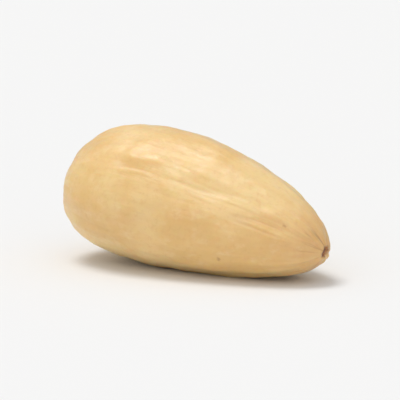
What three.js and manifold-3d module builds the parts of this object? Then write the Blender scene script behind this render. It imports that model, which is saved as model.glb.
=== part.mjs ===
// One shelled pine nut: the bare, cream-coloured kernel of a pine seed, lying on its side.
//
// The kernel is a slightly bowed teardrop. Its blunt end points to -X and its narrow tip to +X,
// +Y runs across it and +Z is up. It has three soft sides, shallow lengthwise furrows, broad
// dents, a slight dimple in the blunt end and a small pitted nib on the tip, where the root
// pointed in the seed. It rests on a small flat spot under its belly. The origin is on the
// ground, under the middle of its box. Lengths are in millimetres and angles in radians, unless
// a name says degrees. A station runs from -1 at the blunt end to 1 at the tip.

import * as THREE from "three";
import { mergeVertices } from "three/addons/utils/BufferGeometryUtils.js";
import Module from "manifold-3d";

// Driving dimensions.
const LENGTH = 12.9; // along the centre line, without the nib
const WIDTH = 6.6; // across the widest place
const HEIGHT = 6.05; // through the widest place
const BOW = 0.2; // rise of the centre line between its ends
const SWEEP = 0.12; // sideways drift of the centre line
const SWEEP_TURNS = 2.2; // how fast the drift turns back, in radians a station
const SWEEP_START = 0.4;

// The outline's proportions.
const TAPER = 0.27; // how much slimmer the tip half is than the blunt half
const BLUNT_FULLNESS = 0.79; // 1 is an ellipse's end, and less is fuller
const TIP_FULLNESS = 0.76;

// Soft sides and shoulders, as shares of the radius. One soft side faces the ground.
const SIDES = 3;
const SIDE_RELIEF = 0.042;
const SIDE_TURN = 1.5; // the angle round the centre line of one edge between two sides
const SIDE_TWIST = 0.2;
const SHOULDERS = 4;
const SHOULDER_RELIEF = 0.008;
const SHOULDER_TWIST = 2;
const SHOULDER_WAVES = 2.4;
const SHOULDER_START = 0.7;

// Furrows, which run lengthwise and fade out. Each is placed by its own turn round the kernel.
const FURROWS = 11;
const FURROW_DEPTH = 0.07;
const FURROW_HALF_WIDTH = 0.13;
const FURROW_WANDER = 0.14;
const FURROW_WANDER_WAVES = 3;
const FURROW_MIDDLE = { spread: 0.55, beat: 2.3 };
const FURROW_REACH = { usual: 0.42, spread: 0.16, beat: 1.7 };
const FURROW_SHARE = { usual: 0.55, spread: 0.45, beat: 5.1 };
const GOLDEN_ANGLE = Math.PI * (3 - Math.sqrt(5));

// Broad dents, each at a station and an angle round the centre line.
const DENTS = [
  { station: 0.3, angle: 2.35, depth: 0.12, reach: 0.34, breadth: 0.42 },
  { station: -0.35, angle: 3.7, depth: 0.09, reach: 0.4, breadth: 0.5 },
  { station: 0.05, angle: 0.35, depth: 0.14, reach: 0.5, breadth: 0.45 },
];
const HOLLOW_FADE = 2; // furrows and dents fade out below one part in this of the largest radius

// The two ends.
const NIB_HEIGHT = 0.2;
const NIB_INNER_RADIUS = 0.1; // where the nib's side starts to fall
const NIB_OUTER_RADIUS = 0.95; // where it meets the kernel
const PIT_DEPTH = 0.12;
const PIT_RADIUS = 0.4;
const PIT_LOPSIDEDNESS = 0.35; // how far the pit's rim strays from a circle, as a share
const PIT_LOBES = 2;
const PIT_TURN = 1;
const DIMPLE_DEPTH = 0.04;
const DIMPLE_RADIUS = 0.7;

// How it rests.
const REST_TILT_DEGREES = 8.6; // how far the tip droops
const REST_DEPTH = 0.13; // depth of the flat spot

// The mesh's fineness.
const COLUMNS = 84;
const RINGS = 50;
const RING_CROWDING = 0.35; // 0 spaces the rings evenly, and more crowds them at both ends

const KERNEL_COLOUR = 0xe9cb95;

// The kernel's radius at station s, before scaling.
function rawRadius(s) {
  const fullness = THREE.MathUtils.lerp(BLUNT_FULLNESS, TIP_FULLNESS, (s + 1) / 2);
  return Math.pow(Math.max(0, 1 - s * s), fullness / 2) * (1 - TAPER * s);
}

// The largest raw radius, found by stepping along the kernel.
function largestRadius() {
  const steps = 2000;
  let largest = 0;
  for (let i = 0; i <= steps; i++) {
    largest = Math.max(largest, rawRadius((2 * i) / steps - 1));
  }
  return largest;
}

const RADIUS_SCALE = 1 / largestRadius();

// How far the soft sides and shoulders raise the surface, as a share of the radius.
function sideRelief(s, angle) {
  const sides = Math.cos(SIDES * (angle - SIDE_TURN) + SIDE_TWIST * s);
  const turned = Math.cos(SHOULDERS * angle + SHOULDER_TWIST * s);
  const shoulders = turned * Math.sin(SHOULDER_WAVES * s + SHOULDER_START);
  return SIDE_RELIEF * sides + SHOULDER_RELIEF * shoulders;
}

// A hollow's share of its full depth, at an offset along the kernel and an offset round it.
function hollow(alongOffset, reach, angleOffset, breadth) {
  const along = alongOffset / reach;
  const round = Math.atan2(Math.sin(angleOffset), Math.cos(angleOffset)) / breadth;
  return Math.exp(-along * along - round * round);
}

// How deep the furrows are at one place.
function furrowDepth(s, angle) {
  let depth = 0;
  for (let i = 0; i < FURROWS; i++) {
    const turn = i * GOLDEN_ANGLE;
    const middle = FURROW_MIDDLE.spread * Math.cos(FURROW_MIDDLE.beat * turn);
    const reach = FURROW_REACH.usual + FURROW_REACH.spread * Math.sin(FURROW_REACH.beat * turn);
    const share = FURROW_SHARE.usual + FURROW_SHARE.spread * Math.cos(FURROW_SHARE.beat * turn);
    const wander = FURROW_WANDER * Math.sin(FURROW_WANDER_WAVES * s + turn);
    depth += share * hollow(s - middle, reach, angle - turn - wander, FURROW_HALF_WIDTH);
  }
  return FURROW_DEPTH * depth;
}

// How deep the broad dents are at one place.
function dentDepth(s, angle) {
  let depth = 0;
  for (const dent of DENTS) {
    depth += dent.depth * hollow(s - dent.station, dent.reach, angle - dent.angle, dent.breadth);
  }
  return depth;
}

// How far the tip stands out along the kernel, at a distance from the centre line.
function tipRelief(distance, angle) {
  const fall = THREE.MathUtils.smoothstep(distance, NIB_INNER_RADIUS, NIB_OUTER_RADIUS);
  const lobes = Math.cos(PIT_LOBES * angle + PIT_TURN) * Math.cos(angle);
  const rim = PIT_RADIUS * (1 + PIT_LOPSIDEDNESS * lobes);
  const pit = 1 - THREE.MathUtils.smoothstep(distance, 0, rim);
  return NIB_HEIGHT * (1 - fall) - PIT_DEPTH * pit;
}

// How far the blunt end sinks in along the kernel.
function bluntRelief(distance) {
  return DIMPLE_DEPTH * Math.exp(-Math.pow(distance / DIMPLE_RADIUS, 2));
}

// The point of the kernel's skin at station s and angle round the centre line.
function kernelPoint(s, angle) {
  const share = rawRadius(s) * RADIUS_SCALE;
  const swell = share * (1 + sideRelief(s, angle));
  const fade = Math.min(1, HOLLOW_FADE * share);
  const sunk = (furrowDepth(s, angle) + dentDepth(s, angle)) * fade;
  const across = Math.max(0, (WIDTH / 2) * swell - sunk);
  const upward = Math.max(0, (HEIGHT / 2) * swell - sunk);
  const distance = (share * (WIDTH + HEIGHT)) / 4;
  const endRelief = s > 0 ? tipRelief(distance, angle) : bluntRelief(distance);
  return new THREE.Vector3(
    (LENGTH / 2) * s + endRelief,
    across * Math.cos(angle) + SWEEP * Math.sin(SWEEP_TURNS * s + SWEEP_START),
    upward * Math.sin(angle) + BOW * (1 - s * s),
  );
}

// The whole skin: a ball whose every vertex is moved to its place on the kernel.
function kernelSkin() {
  const ball = new THREE.SphereGeometry(1, COLUMNS, RINGS);
  ball.deleteAttribute("normal");
  ball.deleteAttribute("uv");
  const skin = mergeVertices(ball.rotateZ(-Math.PI / 2));
  const places = skin.getAttribute("position");
  const place = new THREE.Vector3();
  for (let i = 0; i < places.count; i++) {
    place.fromBufferAttribute(places, i);
    const evenShare = Math.acos(THREE.MathUtils.clamp(-place.x, -1, 1)) / Math.PI;
    const crowding = (RING_CROWDING * Math.sin(2 * Math.PI * evenShare)) / (2 * Math.PI);
    const station = -Math.cos(Math.PI * (evenShare - crowding));
    const moved = kernelPoint(station, Math.atan2(place.z, place.y));
    places.setXYZ(i, moved.x, moved.y, moved.z);
  }
  return skin.rotateY(THREE.MathUtils.degToRad(REST_TILT_DEGREES));
}

function toSolid(wasm, geometry) {
  const bare = geometry.clone();
  bare.deleteAttribute("normal");
  bare.deleteAttribute("uv");
  const merged = mergeVertices(bare);
  return new wasm.Manifold(
    new wasm.Mesh({
      numProp: 3,
      vertProperties: new Float32Array(merged.getAttribute("position").array),
      triVerts: new Uint32Array(merged.index.array),
    }),
  );
}

function toGeometry(solid) {
  const mesh = solid.getMesh();
  return new THREE.BufferGeometry()
    .setAttribute("position", new THREE.BufferAttribute(mesh.vertProperties, 3))
    .setIndex(new THREE.BufferAttribute(mesh.triVerts, 1));
}

// The ground block that flattens the kernel's resting spot.
function groundBlock(skin) {
  skin.computeBoundingBox();
  const top = skin.boundingBox.min.z + REST_DEPTH;
  const side = 2 * LENGTH;
  return new THREE.BoxGeometry(side, side, side).translate(0, 0, top - side / 2);
}

function makeKernel(wasm) {
  const skin = kernelSkin();
  const solid = toSolid(wasm, skin).subtract(toSolid(wasm, groundBlock(skin)));
  const geometry = toGeometry(solid);
  geometry.computeBoundingBox();
  const { min, max } = geometry.boundingBox;
  geometry.translate(-(min.x + max.x) / 2, -(min.y + max.y) / 2, -min.z);
  geometry.computeVertexNormals();
  const material = new THREE.MeshStandardMaterial({
    color: KERNEL_COLOUR,
    roughness: 0.5,
    metalness: 0,
  });
  const kernel = new THREE.Mesh(geometry, material);
  kernel.name = "kernel";
  return kernel;
}

const wasm = await Module();
wasm.setup();

const pineNut = new THREE.Group();
pineNut.name = "pine_nut";
pineNut.add(makeKernel(wasm));

export default pineNut;
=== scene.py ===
"""A shelled pine nut, dressed for rendering around its solid.

The kernel is made again from the same rule as the solid, with many more points, and its skin gets
fine wrinkles, pits and puckered ends. Its colour, gloss and translucence are procedural. Lengths
are in millimetres, and become metres where Blender takes metres. Angles are in radians, unless a
name says degrees. A station runs from -1 at the blunt end to 1 at the tip. The kernel's colours
are written as they look on a screen, from 0 to 255, and the studio's are linear, from 0 to 1.
"""

import math

import bpy
import numpy as np
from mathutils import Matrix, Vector, noise


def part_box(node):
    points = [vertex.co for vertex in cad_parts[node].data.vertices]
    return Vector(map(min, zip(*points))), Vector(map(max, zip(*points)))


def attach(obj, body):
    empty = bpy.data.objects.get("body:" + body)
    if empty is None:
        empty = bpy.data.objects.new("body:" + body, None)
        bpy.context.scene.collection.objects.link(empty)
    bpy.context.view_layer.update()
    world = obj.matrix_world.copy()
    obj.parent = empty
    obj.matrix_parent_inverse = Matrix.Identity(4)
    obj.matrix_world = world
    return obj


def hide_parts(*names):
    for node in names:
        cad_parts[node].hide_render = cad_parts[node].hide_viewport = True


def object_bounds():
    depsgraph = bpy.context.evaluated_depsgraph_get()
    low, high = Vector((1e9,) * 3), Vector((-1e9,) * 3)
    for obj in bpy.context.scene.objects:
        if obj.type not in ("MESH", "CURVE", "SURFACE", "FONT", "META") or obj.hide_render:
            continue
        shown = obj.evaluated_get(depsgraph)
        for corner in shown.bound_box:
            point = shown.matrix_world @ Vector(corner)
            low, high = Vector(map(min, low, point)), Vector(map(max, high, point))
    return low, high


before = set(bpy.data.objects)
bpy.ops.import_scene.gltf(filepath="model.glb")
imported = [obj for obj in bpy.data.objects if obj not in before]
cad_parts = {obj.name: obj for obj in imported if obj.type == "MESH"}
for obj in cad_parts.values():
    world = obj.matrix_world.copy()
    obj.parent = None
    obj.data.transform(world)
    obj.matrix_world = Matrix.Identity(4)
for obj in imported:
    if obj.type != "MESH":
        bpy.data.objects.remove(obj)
solid_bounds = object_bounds()

MM = 0.001  # metres in a millimetre

# Driving dimensions, as in the solid.
LENGTH = 12.9  # along the centre line, without the nib
WIDTH = 6.6  # across the widest place
HEIGHT = 6.05  # through the widest place
BOW = 0.2  # rise of the centre line between its ends
SWEEP = 0.12  # sideways drift of the centre line
SWEEP_TURNS = 2.2  # how fast the drift turns back, in radians a station
SWEEP_START = 0.4
REST_TILT_DEGREES = 8.6  # how far the tip droops
REST_DEPTH = 0.13  # depth of the flat spot

# The outline's proportions, as in the solid.
TAPER = 0.27  # how much slimmer the tip half is than the blunt half
BLUNT_FULLNESS = 0.79  # 1 is an ellipse's end, and less is fuller
TIP_FULLNESS = 0.76
RADIUS_SAMPLES = 2001  # stations among which the largest radius is found

# Soft sides and shoulders, as shares of the radius, as in the solid.
SIDES = 3
SIDE_RELIEF = 0.042
SIDE_TURN = 1.5  # the angle round the centre line of one edge between two sides
SIDE_TWIST = 0.2
SHOULDERS = 4
SHOULDER_RELIEF = 0.008
SHOULDER_TWIST = 2.0
SHOULDER_WAVES = 2.4
SHOULDER_START = 0.7

# Furrows, which run lengthwise and fade out, as in the solid.
FURROWS = 11
FURROW_DEPTH = 0.07
FURROW_HALF_WIDTH = 0.13
FURROW_WANDER = 0.14
FURROW_WANDER_WAVES = 3.0
FURROW_MIDDLE = {"spread": 0.55, "beat": 2.3}
FURROW_REACH = {"usual": 0.42, "spread": 0.16, "beat": 1.7}
FURROW_SHARE = {"usual": 0.55, "spread": 0.45, "beat": 5.1}
GOLDEN_ANGLE = math.pi * (3.0 - math.sqrt(5.0))

# Broad dents, as in the solid.
DENTS = [
    {"station": 0.3, "angle": 2.35, "depth": 0.12, "reach": 0.34, "breadth": 0.42},
    {"station": -0.35, "angle": 3.7, "depth": 0.09, "reach": 0.4, "breadth": 0.5},
    {"station": 0.05, "angle": 0.35, "depth": 0.14, "reach": 0.5, "breadth": 0.45},
]
HOLLOW_FADE = 2.0  # furrows and dents fade out below one part in this of the largest radius

# The two ends, as in the solid.
NIB_HEIGHT = 0.2
NIB_INNER_RADIUS = 0.1  # where the nib's side starts to fall
NIB_OUTER_RADIUS = 0.95  # where it meets the kernel
PIT_DEPTH = 0.12
PIT_RADIUS = 0.4
PIT_LOPSIDEDNESS = 0.35  # how far the pit's rim strays from a circle, as a share
PIT_LOBES = 2.0
PIT_TURN = 1.0
DIMPLE_DEPTH = 0.04
DIMPLE_RADIUS = 0.7

# The mesh's fineness. It is finer round the kernel than along it, because most wrinkles run along.
COLUMNS = 480
RINGS = 200
RING_CROWDING = 0.35  # 0 spaces the rings evenly, and more crowds them at both ends

# Fine relief of the skin, which only this mesh has. It comes from noise, which has cells of one
# size, or long cells with a length along the kernel and a count round it, in cells a radian. A
# seed moves the noise on by that many steps, so that no two forms are alike.
SEED_STEP = np.array([17.3, 5.9, 11.1])
SWELL = {"depth": 0.05, "size": 1.5, "seed": 10}
LUMP = {"depth": 0.032, "size": 0.75, "seed": 11}
PEBBLE = {"depth": 0.015, "size": 0.42, "seed": 12}
FINE_WRINKLE = {"depth": 0.026, "round": 7.0, "length": 2.2, "seed": 7}
HAIR_WRINKLE = {"depth": 0.012, "round": 15.0, "length": 1.1, "seed": 9}

# Large wrinkles. Softness rounds their bottoms, and the level keeps the skin's usual height.
WRINKLE = {"depth": 0.085, "round": 3.0, "length": 5.5, "seed": 6, "softness": 0.06, "level": 0.2}

# Creases, and the patches that they show in, which rise between two levels of their own noise.
CREASE = {"depth": 0.03, "round": 4.4, "length": 4.6, "seed": 1, "sharpness": 5.5}
CREASE_PATCHES = {"round": 1.3, "length": 2.6, "seed": 2, "rise": (0.0, 0.5)}

# The lengthwise relief fades out towards each end between these shares of the largest radius.
BLUNT_FADE = (0.3, 0.9)
TIP_FADE = (0.1, 0.4)

# Small pits, drawn at random. A pit's depth is a share of its own radius.
PITS = {"count": 46, "seed": 11, "radius": (0.08, 0.22), "depth_share": (0.06, 0.16)}

# Short ridges that gather at each end. They rise and fade out over these distances from the end.
# One noise makes their strength uneven, and another shifts their waves by up to about its turn.
PUCKERS = [
    {"station": 1.0, "count": 9, "depth": 0.035, "rise": (0.1, 0.5), "fade": (0.4, 1.8)},
    {"station": -1.0, "count": 7, "depth": 0.02, "rise": (0.15, 1.1), "fade": (1.0, 3.0)},
]
PUCKER_STRENGTH = {"usual": 0.6, "round": 1.2, "length": 3.0, "seed": 8}
PUCKER_WAVER = {"turn": 2.5, "size": 0.6, "seed": 5}

# The view.
VIEW_AZIMUTH_DEGREES = 34.0
VIEW_ELEVATION_DEGREES = 11.0
LENS = 350.0
SENSOR = 36.0
FRAME_WIDTH = 17.5  # what the picture's width takes in, where the kernel lies
CLIP_START = 10.0
CLIP_END = 20000.0

# The studio. A sun's azimuth is counted from the view's. The sky's light grows from one strength
# to the other between two heights, where -1 is straight down and 1 is straight up.
KEY_SUN = {
    "azimuth_degrees": -110.0,
    "elevation_degrees": 74.0,
    "spread_degrees": 26.0,
    "strength": 1.35,
    "colour": (1.0, 0.985, 0.96),
}
FILL_SUN = {
    "azimuth_degrees": -15.0,
    "elevation_degrees": 28.0,
    "spread_degrees": 90.0,
    "strength": 0.6,
    "colour": (0.97, 0.985, 1.0),
}
SKY = {"heights": (-0.2, 1.0), "strengths": (0.32, 0.68), "colour": (1.0, 1.0, 1.0, 1.0)}
BACKDROP_COLOUR = (0.922, 0.923, 0.919, 1.0)
FLOOR_COLOUR = (0.84, 0.843, 0.847, 1.0)
FLOOR_HALF_WIDTH = 3000.0


def smooth_step(low, high, value):
    """0 below low, 1 above high and smooth between."""
    t = np.clip((value - low) / (high - low), 0.0, 1.0)
    return t * t * (3.0 - 2.0 * t)


def raw_radius(s):
    """The kernel's radius at station s, before scaling."""
    fullness = BLUNT_FULLNESS + (TIP_FULLNESS - BLUNT_FULLNESS) * (s + 1.0) / 2.0
    return np.maximum(0.0, 1.0 - s * s) ** (fullness / 2.0) * (1.0 - TAPER * s)


RADIUS_SCALE = 1.0 / raw_radius(np.linspace(-1.0, 1.0, RADIUS_SAMPLES)).max()


def side_relief(s, angle):
    """How far the soft sides and shoulders raise the surface, as a share of the radius."""
    sides = np.cos(SIDES * (angle - SIDE_TURN) + SIDE_TWIST * s)
    turned = np.cos(SHOULDERS * angle + SHOULDER_TWIST * s)
    shoulders = turned * np.sin(SHOULDER_WAVES * s + SHOULDER_START)
    return SIDE_RELIEF * sides + SHOULDER_RELIEF * shoulders


def hollow(along_offset, reach, angle_offset, breadth):
    """A hollow's share of its full depth, at an offset along the kernel and an offset round it."""
    along = along_offset / reach
    around = np.arctan2(np.sin(angle_offset), np.cos(angle_offset)) / breadth
    return np.exp(-along * along - around * around)


def furrow_depth(s, angle):
    """How deep the furrows are. Each is placed by its own turn round the kernel."""
    depth = np.zeros_like(s)
    for i in range(FURROWS):
        turn = i * GOLDEN_ANGLE
        middle = FURROW_MIDDLE["spread"] * math.cos(FURROW_MIDDLE["beat"] * turn)
        reach = FURROW_REACH["usual"] + FURROW_REACH["spread"] * math.sin(FURROW_REACH["beat"] * turn)
        share = FURROW_SHARE["usual"] + FURROW_SHARE["spread"] * math.cos(FURROW_SHARE["beat"] * turn)
        wander = FURROW_WANDER * np.sin(FURROW_WANDER_WAVES * s + turn)
        depth += share * hollow(s - middle, reach, angle - turn - wander, FURROW_HALF_WIDTH)
    return FURROW_DEPTH * depth


def dent_depth(s, angle):
    """How deep the broad dents are."""
    depth = np.zeros_like(s)
    for dent in DENTS:
        share = hollow(s - dent["station"], dent["reach"], angle - dent["angle"], dent["breadth"])
        depth += dent["depth"] * share
    return depth


def end_relief(s, distance, angle):
    """How far the nib and its pit, or the dimple, move each end along the kernel.

    The distance is from the centre line.
    """
    nib = NIB_HEIGHT * (1.0 - smooth_step(NIB_INNER_RADIUS, NIB_OUTER_RADIUS, distance))
    lobes = np.cos(PIT_LOBES * angle + PIT_TURN) * np.cos(angle)
    rim = PIT_RADIUS * (1.0 + PIT_LOPSIDEDNESS * lobes)
    pit = PIT_DEPTH * (1.0 - smooth_step(0.0, 1.0, distance / rim))
    dimple = DIMPLE_DEPTH * np.exp(-((distance / DIMPLE_RADIUS) ** 2))
    return np.where(s > 0.0, nib - pit, dimple)


def kernel_points(s, angle):
    """The points of the solid's skin, before it is laid down."""
    share = raw_radius(s) * RADIUS_SCALE
    swell = share * (1.0 + side_relief(s, angle))
    sunk = (furrow_depth(s, angle) + dent_depth(s, angle)) * np.minimum(1.0, HOLLOW_FADE * share)
    across = np.maximum(0.0, WIDTH / 2.0 * swell - sunk)
    upward = np.maximum(0.0, HEIGHT / 2.0 * swell - sunk)
    distance = share * (WIDTH + HEIGHT) / 4.0
    x = LENGTH / 2.0 * s + end_relief(s, distance, angle)
    y = across * np.cos(angle) + SWEEP * np.sin(SWEEP_TURNS * s + SWEEP_START)
    z = upward * np.sin(angle) + BOW * (1.0 - s * s)
    return np.stack([x, y, z], axis=-1)


def laid_down(points):
    """The points tilted to the kernel's pose at rest."""
    tilt = math.radians(REST_TILT_DEGREES)
    x = points[..., 0] * math.cos(tilt) + points[..., 2] * math.sin(tilt)
    z = points[..., 2] * math.cos(tilt) - points[..., 0] * math.sin(tilt)
    return np.stack([x, points[..., 1], z], axis=-1)


def noise_at(points, seed):
    """Smooth noise from -1 to 1 at each point. Other seeds give other noise."""
    shifted = points + SEED_STEP * seed
    values = [noise.noise(Vector(point)) for point in shifted.reshape(-1, 3)]
    return np.array(values).reshape(points.shape[:-1])


def even_noise(base, form):
    """Noise in cells of the form's size."""
    return noise_at(base / form["size"], form["seed"])


def lengthwise(s, angle, count_round=1.0, length=1.0):
    """Places for noise that runs lengthwise: long steps along the kernel, short ones round it."""
    along = LENGTH / 2.0 * s / length
    return np.stack([along, count_round * np.cos(angle), count_round * np.sin(angle)], axis=-1)


def lengthwise_noise(s, angle, form):
    """Noise in cells of the form's length, with its count of them to a radian round the kernel."""
    return noise_at(lengthwise(s, angle, form["round"], form["length"]), form["seed"])


def grain_share(s):
    """How strongly the lengthwise relief shows. It fades out at both ends."""
    share = raw_radius(s) * RADIUS_SCALE
    return np.where(s < 0.0, smooth_step(*BLUNT_FADE, share), smooth_step(*TIP_FADE, share))


def crease_share(s, angle):
    """Fine lengthwise creases, from 0 on smooth skin to 1 at the bottom of a crease."""
    lines = lengthwise_noise(s, angle, CREASE)
    where = smooth_step(*CREASE_PATCHES["rise"], lengthwise_noise(s, angle, CREASE_PATCHES))
    return where * grain_share(s) * np.exp(-((lines * CREASE["sharpness"]) ** 2))


def pit_depth(base):
    """How deep the small pits are, which are scattered over the skin."""
    draw = np.random.default_rng(PITS["seed"])
    flat = base.reshape(-1, 3)
    depth = np.zeros(len(flat))
    for _ in range(PITS["count"]):
        centre = flat[draw.integers(len(flat))]
        radius = draw.uniform(*PITS["radius"])
        deep = draw.uniform(*PITS["depth_share"]) * radius
        away = np.linalg.norm(flat - centre, axis=1)
        depth += deep * np.exp(-((away / radius) ** 2))
    return depth.reshape(base.shape[:-1])


def pucker(s, angle, base):
    """How far the uneven puckers of both ends raise the skin."""
    strength = PUCKER_STRENGTH["usual"] + lengthwise_noise(s, angle, PUCKER_STRENGTH)
    waver = PUCKER_WAVER["turn"] * even_noise(base, PUCKER_WAVER)
    relief = np.zeros_like(s)
    for end in PUCKERS:
        pole = kernel_points(np.array(end["station"]), np.array(0.0))
        away = np.linalg.norm(base - pole, axis=-1)
        share = smooth_step(*end["rise"], away) * (1.0 - smooth_step(*end["fade"], away))
        relief += end["depth"] * share * strength * np.sin(end["count"] * angle + waver)
    return relief


def fine_relief(s, angle, base, crease):
    """How far the fine relief raises the skin."""
    fold = np.hypot(lengthwise_noise(s, angle, WRINKLE), WRINKLE["softness"])
    relief = WRINKLE["depth"] * (fold - WRINKLE["level"])
    for form in (FINE_WRINKLE, HAIR_WRINKLE):
        relief += form["depth"] * lengthwise_noise(s, angle, form)
    relief = relief * grain_share(s) - CREASE["depth"] * crease
    for form in (SWELL, LUMP, PEBBLE):
        relief += form["depth"] * even_noise(base, form)
    return relief - pit_depth(base) + pucker(s, angle, base)


def kernel_grid():
    """Stations and angles of the mesh's rings, without the two poles."""
    even = np.arange(1, RINGS) / RINGS
    crowded = even - RING_CROWDING * np.sin(2.0 * math.pi * even) / (2.0 * math.pi)
    stations = -np.cos(math.pi * crowded)
    angles = 2.0 * math.pi * np.arange(COLUMNS) / COLUMNS
    return np.meshgrid(stations, angles, indexing="ij")


def grid_normals(points):
    """Outward unit normals of a grid that closes on itself round the kernel."""
    along = np.gradient(points, axis=0)
    around = np.roll(points, -1, axis=1) - np.roll(points, 1, axis=1)
    normals = np.cross(around, along)
    return normals / np.linalg.norm(normals, axis=-1, keepdims=True)


def grid_faces():
    """Quads between rings and a fan of triangles at each pole."""
    blunt_pole = (RINGS - 1) * COLUMNS
    tip_pole = blunt_pole + 1
    last = (RINGS - 2) * COLUMNS
    faces = []
    for here in range(0, last, COLUMNS):
        there = here + COLUMNS
        for column in range(COLUMNS):
            after = (column + 1) % COLUMNS
            faces.append((here + column, here + after, there + after, there + column))
    for column in range(COLUMNS):
        after = (column + 1) % COLUMNS
        faces.append((blunt_pole, after, column))
        faces.append((tip_pole, last + column, last + after))
    return faces


def set_on_ground(points, plain):
    """Moves the points to where the solid lies, and flattens what would reach into the ground.

    The plain points are the same skin without its fine relief, as the solid has it.
    """
    low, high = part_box("kernel")
    middle = (np.array(low) + np.array(high)) / 2.0 / MM
    plain_middle = (plain.min(axis=0) + plain.max(axis=0)) / 2.0
    points[:, :2] += middle[:2] - plain_middle[:2]
    points[:, 2] -= plain[:, 2].min() + REST_DEPTH
    points[:, 2] = np.maximum(points[:, 2], 0.0)
    return points


def store_number(mesh, name, values):
    """Keeps a number for each vertex, which the material reads by name."""
    layer = mesh.attributes.new(name, "FLOAT", "POINT")
    layer.data.foreach_set("value", values.astype(np.float32))


def store_vector(mesh, name, values):
    """Keeps three numbers for each vertex, which the material reads by name."""
    layer = mesh.attributes.new(name, "FLOAT_VECTOR", "POINT")
    layer.data.foreach_set("vector", values.astype(np.float32).reshape(-1))


def add_object(name, data):
    """A new object in the scene."""
    added = bpy.data.objects.new(name, data)
    bpy.context.scene.collection.objects.link(added)
    return added


def make_kernel():
    """The kernel's skin, as one closed mesh that stands for the solid."""
    s, angle = kernel_grid()
    base = kernel_points(s, angle)
    crease = crease_share(s, angle)
    skin = base + grid_normals(base) * fine_relief(s, angle, base, crease)[..., None]
    pole_stations = np.array([-1.0, 1.0])
    pole_angles = np.zeros(2)
    poles = kernel_points(pole_stations, pole_angles)
    points = laid_down(np.concatenate([skin.reshape(-1, 3), poles]))
    points = set_on_ground(points, laid_down(base.reshape(-1, 3)))

    mesh = bpy.data.meshes.new("kernel_skin")
    mesh.from_pydata((points * MM).tolist(), [], grid_faces())
    mesh.validate()
    mesh.shade_smooth()
    none_at_poles = np.zeros(2)
    store_number(mesh, "crease", np.concatenate([crease.reshape(-1), none_at_poles]))
    store_number(mesh, "grain_share", np.concatenate([grain_share(s).reshape(-1), none_at_poles]))
    grain = lengthwise(s, angle).reshape(-1, 3)
    store_vector(mesh, "grain", np.concatenate([grain, lengthwise(pole_stations, pole_angles)]))

    piece = add_object("kernel_skin", mesh)
    blunt_end, tip = points[-2:]
    piece.data.materials.append(flesh_material(blunt_end, tip))
    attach(piece, "root")
    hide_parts("kernel")


def linear(red, green, blue):
    """A screen colour as the linear colour that nodes take."""

    def channel(value):
        share = value / 255.0
        return share / 12.92 if share <= 0.04045 else ((share + 0.055) / 1.055) ** 2.4

    return (channel(red), channel(green), channel(blue), 1.0)


# Colours of the kernel.
CREAM = linear(238, 208, 149)
GOLD = linear(231, 193, 128)
IVORY = linear(246, 222, 174)
STREAK = linear(214, 167, 106)
# Tan of the blunt end's fibres and seat, and also the painted shade at the bottom of the creases.
TAN_AND_CREASE_SHADE = linear(190, 140, 88)
SMUDGE = linear(197, 150, 98)
HALO = linear(214, 165, 112)
FIBRE = linear(168, 110, 58)
SCAR = linear(166, 104, 48)
SCAR_CORE = linear(120, 66, 24)
FRECKLE = linear(164, 98, 46)
CREASE_SHADE_SHARE = 0.2  # how far the bottom of a crease is darkened tan, as painted shade

# Gloss and translucence of the flesh, by the shader's sockets. Red light spreads furthest in it.
FLESH = {
    "IOR": 1.47,
    "Subsurface Weight": 0.7,
    "Subsurface Radius": (1.0, 0.5, 0.22),
    "Subsurface Scale": 0.9 * MM,
    "Coat Weight": 0.25,
    "Coat Roughness": 0.32,
}
SCAR_DULLNESS = 0.3  # the roughness that the scar adds

# The flesh's finest grain.
BUMP_CELL_SHARE = 0.6  # how high its cells are beside its striations
BUMP_STRENGTH = 0.6
BUMP_HEIGHT = 0.02

# Where a Mix node has its sockets for colours, among those for other kinds of value.
MIX_SHARE = 0
MIX_UNDER = 6
MIX_OVER = 7
MIX_RESULT = 2


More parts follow.
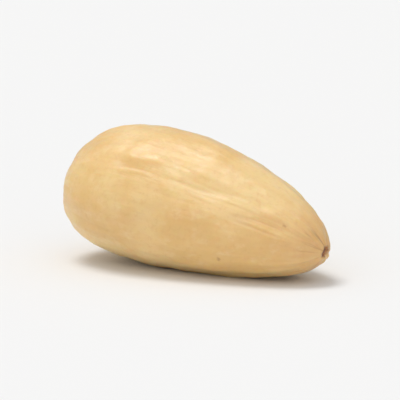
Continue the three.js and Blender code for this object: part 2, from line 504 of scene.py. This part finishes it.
class Nodes:
    """Short words for building a node tree. Places, sizes and distances are in millimetres."""

    def __init__(self, owner):
        """Starts the tree of a material or a world afresh."""
        owner.use_nodes = True
        self.tree = owner.node_tree
        self.tree.nodes.clear()

    def add(self, kind, **settings):
        node = self.tree.nodes.new(kind)
        for name, value in settings.items():
            setattr(node, name, value)
        return node

    def put(self, value, socket):
        """Links a socket to another, or sets a plain value on it."""
        if isinstance(value, bpy.types.NodeSocket):
            self.tree.links.new(value, socket)
        else:
            socket.default_value = value

    def end(self, kind, surface):
        """Ends the tree in an output node of that kind."""
        self.put(surface, self.add(kind).inputs["Surface"])

    def place(self):
        """The place of a point on the object."""
        coordinates = self.add("ShaderNodeTexCoord")
        return self.scaled(coordinates.outputs["Object"], 1.0 / MM, 1.0 / MM, 1.0 / MM)

    def attribute(self, name):
        return self.add("ShaderNodeAttribute", attribute_name=name)

    def math(self, operation, a, b, clamp=False):
        node = self.add("ShaderNodeMath", operation=operation, use_clamp=clamp)
        self.put(a, node.inputs[0])
        self.put(b, node.inputs[1])
        return node.outputs[0]

    def product(self, a, b):
        return self.math("MULTIPLY", a, b)

    def ramp(self, value, low, high, start=0.0, end=1.0):
        """start below low, end above high and smooth between."""
        node = self.add("ShaderNodeMapRange", interpolation_type="SMOOTHSTEP")
        self.put(value, node.inputs["Value"])
        self.put(low, node.inputs["From Min"])
        self.put(high, node.inputs["From Max"])
        self.put(start, node.inputs["To Min"])
        self.put(end, node.inputs["To Max"])
        return node.outputs["Result"]

    def fade(self, distance, near, far, share=1.0):
        """That share nearer than near, 0 beyond far and smooth between."""
        return self.ramp(distance, near, far, start=share, end=0.0)

    def noise(self, place, size, detail=3.0, roughness=0.5):
        """Noise from 0 to 1, with features of about that size in the place's own units."""
        node = self.add("ShaderNodeTexNoise")
        self.put(place, node.inputs["Vector"])
        self.put(1.0 / size, node.inputs["Scale"])
        self.put(detail, node.inputs["Detail"])
        self.put(roughness, node.inputs["Roughness"])
        return node.outputs["Fac"]

    def streaks(self, grain, length, count_round, detail=3.0):
        """Noise that runs lengthwise, with that many features to a radian round the kernel."""
        stretched = self.scaled(grain, 1.0 / length, count_round, count_round)
        return self.noise(stretched, size=1.0, detail=detail)

    def mix(self, share, under, over):
        """The colour over, laid on the colour under by that share."""
        node = self.add("ShaderNodeMix", data_type="RGBA")
        self.put(share, node.inputs[MIX_SHARE])
        self.put(under, node.inputs[MIX_UNDER])
        self.put(over, node.inputs[MIX_OVER])
        return node.outputs[MIX_RESULT]

    def distance(self, place, point):
        node = self.add("ShaderNodeVectorMath", operation="DISTANCE")
        self.put(place, node.inputs[0])
        self.put(tuple(point), node.inputs[1])
        return node.outputs["Value"]

    def scaled(self, place, x, y, z):
        node = self.add("ShaderNodeVectorMath", operation="MULTIPLY")
        self.put(place, node.inputs[0])
        self.put((x, y, z), node.inputs[1])
        return node.outputs["Vector"]

    def cells(self, place, size):
        """Scattered points: the distance to the nearest, in cells, and a random number of its own."""
        node = self.add("ShaderNodeTexVoronoi")
        self.put(place, node.inputs["Vector"])
        self.put(1.0 / size, node.inputs["Scale"])
        split = self.add("ShaderNodeSeparateColor")
        self.put(node.outputs["Color"], split.inputs["Color"])
        return node.outputs["Distance"], split.outputs["Red"]


def wavering(nodes, distance, place, size, amount):
    """A distance whose even lines waver by up to about half that amount."""
    shift = nodes.math("SUBTRACT", nodes.noise(place, size), 0.5)
    return nodes.math("ADD", distance, nodes.product(shift, amount))


def scar_share(nodes, place, tip):
    """1 on the dry brown scar in the tip's pit and 0 beyond its uneven edge."""
    away = wavering(nodes, nodes.distance(place, tip), place, size=0.35, amount=0.45)
    return nodes.fade(away, near=0.14, far=0.36)


def skin_colour(nodes, place, grain):
    """Cream flesh in soft clouds, with faint lengthwise streaks, pale flecks, and creases darkened
    tan as painted shade.
    """
    clouds = nodes.noise(place, size=2.6)
    colour = nodes.mix(nodes.ramp(clouds, low=0.36, high=0.64), CREAM, GOLD)
    streaks = nodes.streaks(grain, length=5.0, count_round=3.2)
    streaks = nodes.ramp(streaks, low=0.46, high=0.72, end=0.2)
    shown = nodes.attribute("grain_share").outputs["Fac"]
    colour = nodes.mix(nodes.product(streaks, shown), colour, STREAK)
    longer = nodes.scaled(place, x=0.6, y=1.0, z=1.0)
    flecks = nodes.noise(longer, size=0.55, detail=4.0, roughness=0.6)
    colour = nodes.mix(nodes.ramp(flecks, low=0.5, high=0.72, end=0.32), colour, IVORY)
    hairs = nodes.streaks(grain, length=1.8, count_round=9.0)
    colour = nodes.mix(nodes.ramp(hairs, low=0.45, high=0.7, end=0.07), colour, STREAK)
    mottle = nodes.noise(place, size=0.2, detail=4.0, roughness=0.6)
    colour = nodes.mix(nodes.ramp(mottle, low=0.48, high=0.75, end=0.25), colour, STREAK)
    # The bottoms of the creases are darkened tan: painted shade.
    crease = nodes.attribute("crease").outputs["Fac"]
    return nodes.mix(nodes.product(crease, CREASE_SHADE_SHARE), colour, TAN_AND_CREASE_SHADE)


def blunt_end_colour(nodes, colour, place, fibres, blunt_end):
    """A faint smudge over the blunt end, with tan fibres that meet in its small seat."""
    away = nodes.distance(place, blunt_end)
    wide = wavering(nodes, away, place, size=0.9, amount=2.2)
    colour = nodes.mix(nodes.fade(wide, near=0.3, far=2.6, share=0.3), colour, SMUDGE)
    near_end = nodes.fade(wide, near=0.5, far=2.2, share=0.3)
    colour = nodes.mix(nodes.product(fibres, near_end), colour, TAN_AND_CREASE_SHADE)
    narrow = wavering(nodes, away, place, size=0.4, amount=0.7)
    return nodes.mix(nodes.fade(narrow, near=0.2, far=0.75, share=0.42), colour, TAN_AND_CREASE_SHADE)


def tip_colour(nodes, colour, place, fibres, tip):
    """A tan halo round the tip, with brown fibres that run into it."""
    away = wavering(nodes, nodes.distance(place, tip), place, size=0.8, amount=1.6)
    colour = nodes.mix(nodes.fade(away, near=0.4, far=3.3, share=0.36), colour, HALO)
    near_tip = nodes.fade(away, near=0.4, far=1.4, share=0.6)
    return nodes.mix(nodes.product(fibres, near_tip), colour, FIBRE)


def freckled(nodes, colour, place):
    """Small brown freckles round about a quarter of the cells' points, where these lie in the skin.

    Distances are in cells here.
    """
    away, number = nodes.cells(place, size=1.3)
    chosen = nodes.ramp(number, low=0.72, high=0.74)
    away = wavering(nodes, away, place, size=0.16, amount=0.2)
    freckle = nodes.fade(away, near=0.02, far=0.1, share=0.42)
    return nodes.mix(nodes.product(freckle, chosen), colour, FRECKLE)


def scarred(nodes, colour, place, tip):
    """The blotched brown scar in the tip's pit."""
    blotches = nodes.ramp(nodes.noise(place, size=0.16), low=0.42, high=0.6)
    scar = nodes.mix(blotches, SCAR, SCAR_CORE)
    return nodes.mix(scar_share(nodes, place, tip), colour, scar)


def flesh_colour(nodes, place, grain, blunt_end, tip):
    """The skin's colour, with both ends', the freckles' and the scar's laid on it in turn."""
    colour = skin_colour(nodes, place, grain)
    fibres = nodes.streaks(grain, length=1.6, count_round=6.0, detail=2.0)
    fibres = nodes.ramp(fibres, low=0.5, high=0.7)
    colour = blunt_end_colour(nodes, colour, place, fibres, blunt_end)
    colour = tip_colour(nodes, colour, place, fibres, tip)
    colour = freckled(nodes, colour, place)
    return scarred(nodes, colour, place, tip)


def flesh_roughness(nodes, place, grain, tip):
    """Satin with a thin oily film that breaks up along the grain, and dull on the scar."""
    film = nodes.streaks(grain, length=2.2, count_round=2.5)
    film = nodes.ramp(film, low=0.35, high=0.68, start=0.33, end=0.48)
    speckle = nodes.noise(place, size=0.13)
    speckle = nodes.ramp(speckle, low=0.4, high=0.7, start=-0.03, end=0.07)
    flesh = nodes.math("ADD", film, speckle)
    dull = nodes.product(scar_share(nodes, place, tip), SCAR_DULLNESS)
    return nodes.math("ADD", flesh, dull, clamp=True)


def flesh_bump(nodes, place, grain):
    """Grain too fine for the mesh: cells of a tenth of a millimetre and hair-thin striations."""
    cells = nodes.noise(place, size=0.1, roughness=0.6)
    striations = nodes.streaks(grain, length=1.1, count_round=16.0, detail=2.0)
    bump = nodes.add("ShaderNodeBump")
    nodes.put(BUMP_STRENGTH, bump.inputs["Strength"])
    nodes.put(BUMP_HEIGHT * MM, bump.inputs["Distance"])
    height = nodes.math("ADD", nodes.product(cells, BUMP_CELL_SHARE), striations)
    nodes.put(height, bump.inputs["Height"])
    return bump.outputs["Normal"]


def flesh_material(blunt_end, tip):
    material = bpy.data.materials.new("kernel_flesh")
    nodes = Nodes(material)
    place = nodes.place()
    grain = nodes.attribute("grain").outputs["Vector"]
    shader = nodes.add("ShaderNodeBsdfPrincipled")
    nodes.put(flesh_colour(nodes, place, grain, blunt_end, tip), shader.inputs["Base Color"])
    nodes.put(flesh_roughness(nodes, place, grain, tip), shader.inputs["Roughness"])
    nodes.put(flesh_bump(nodes, place, grain), shader.inputs["Normal"])
    for name, value in FLESH.items():
        shader.inputs[name].default_value = value
    nodes.end("ShaderNodeOutputMaterial", shader.outputs["BSDF"])
    return material


def toward(azimuth_degrees, elevation_degrees):
    """The direction from the kernel to a place seen at that azimuth and elevation."""
    azimuth = math.radians(azimuth_degrees)
    elevation = math.radians(elevation_degrees)
    level = math.cos(elevation)
    return Vector((math.sin(azimuth) * level, -math.cos(azimuth) * level, math.sin(elevation)))


def look_back(added, direction):
    """Turns a light or camera that is in that direction from the kernel to face it."""
    added.rotation_mode = "QUATERNION"
    added.rotation_quaternion = direction.to_track_quat("Z", "Y")


def make_floor():
    """A plain pale floor, wide enough to reach the horizon."""
    half = FLOOR_HALF_WIDTH * MM
    mesh = bpy.data.meshes.new("floor")
    corners = [(-half, -half, 0.0), (half, -half, 0.0), (half, half, 0.0), (-half, half, 0.0)]
    mesh.from_pydata(corners, [], [(0, 1, 2, 3)])
    material = bpy.data.materials.new("floor_matt")
    nodes = Nodes(material)
    shader = nodes.add("ShaderNodeBsdfDiffuse")
    nodes.put(FLOOR_COLOUR, shader.inputs["Color"])
    nodes.end("ShaderNodeOutputMaterial", shader.outputs["BSDF"])
    mesh.materials.append(material)
    add_object("floor", mesh)


def make_sun(name, settings):
    light = bpy.data.lights.new(name, "SUN")
    light.energy = settings["strength"]
    light.angle = math.radians(settings["spread_degrees"])
    light.color = settings["colour"]
    azimuth_degrees = VIEW_AZIMUTH_DEGREES + settings["azimuth_degrees"]
    look_back(add_object(name, light), toward(azimuth_degrees, settings["elevation_degrees"]))


def make_world():
    """White light all round, stronger overhead. Seen directly it is as bright as the lit floor."""
    world = bpy.data.worlds.new("studio")
    bpy.context.scene.world = world
    nodes = Nodes(world)
    split = nodes.add("ShaderNodeSeparateXYZ")
    nodes.put(nodes.add("ShaderNodeTexCoord").outputs["Generated"], split.inputs["Vector"])
    light = nodes.add("ShaderNodeBackground")
    nodes.put(SKY["colour"], light.inputs["Color"])
    strength = nodes.ramp(split.outputs["Z"], *SKY["heights"], *SKY["strengths"])
    nodes.put(strength, light.inputs["Strength"])
    seen = nodes.add("ShaderNodeBackground")
    nodes.put(BACKDROP_COLOUR, seen.inputs["Color"])
    nodes.put(1.0, seen.inputs["Strength"])
    path = nodes.add("ShaderNodeLightPath")
    mix = nodes.add("ShaderNodeMixShader")
    nodes.put(path.outputs["Is Camera Ray"], mix.inputs[0])
    nodes.put(light.outputs["Background"], mix.inputs[1])
    nodes.put(seen.outputs["Background"], mix.inputs[2])
    nodes.end("ShaderNodeOutputWorld", mix.outputs["Shader"])


def make_camera():
    """A long lens at the view's angle, aimed at the middle of the solid."""
    low, high = solid_bounds
    distance = FRAME_WIDTH * MM * LENS / SENSOR
    view = toward(VIEW_AZIMUTH_DEGREES, VIEW_ELEVATION_DEGREES)
    lens = bpy.data.cameras.new("camera")
    lens.lens = LENS
    lens.sensor_width = SENSOR
    lens.clip_start = CLIP_START * MM
    lens.clip_end = CLIP_END * MM
    camera = add_object("camera", lens)
    camera.location = (low + high) / 2.0 + view * distance
    look_back(camera, view)
    bpy.context.scene.camera = camera


make_kernel()
make_floor()
make_world()
make_sun("key", KEY_SUN)
make_sun("fill", FILL_SUN)
make_camera()
bpy.context.scene.view_settings.view_transform = "Standard"
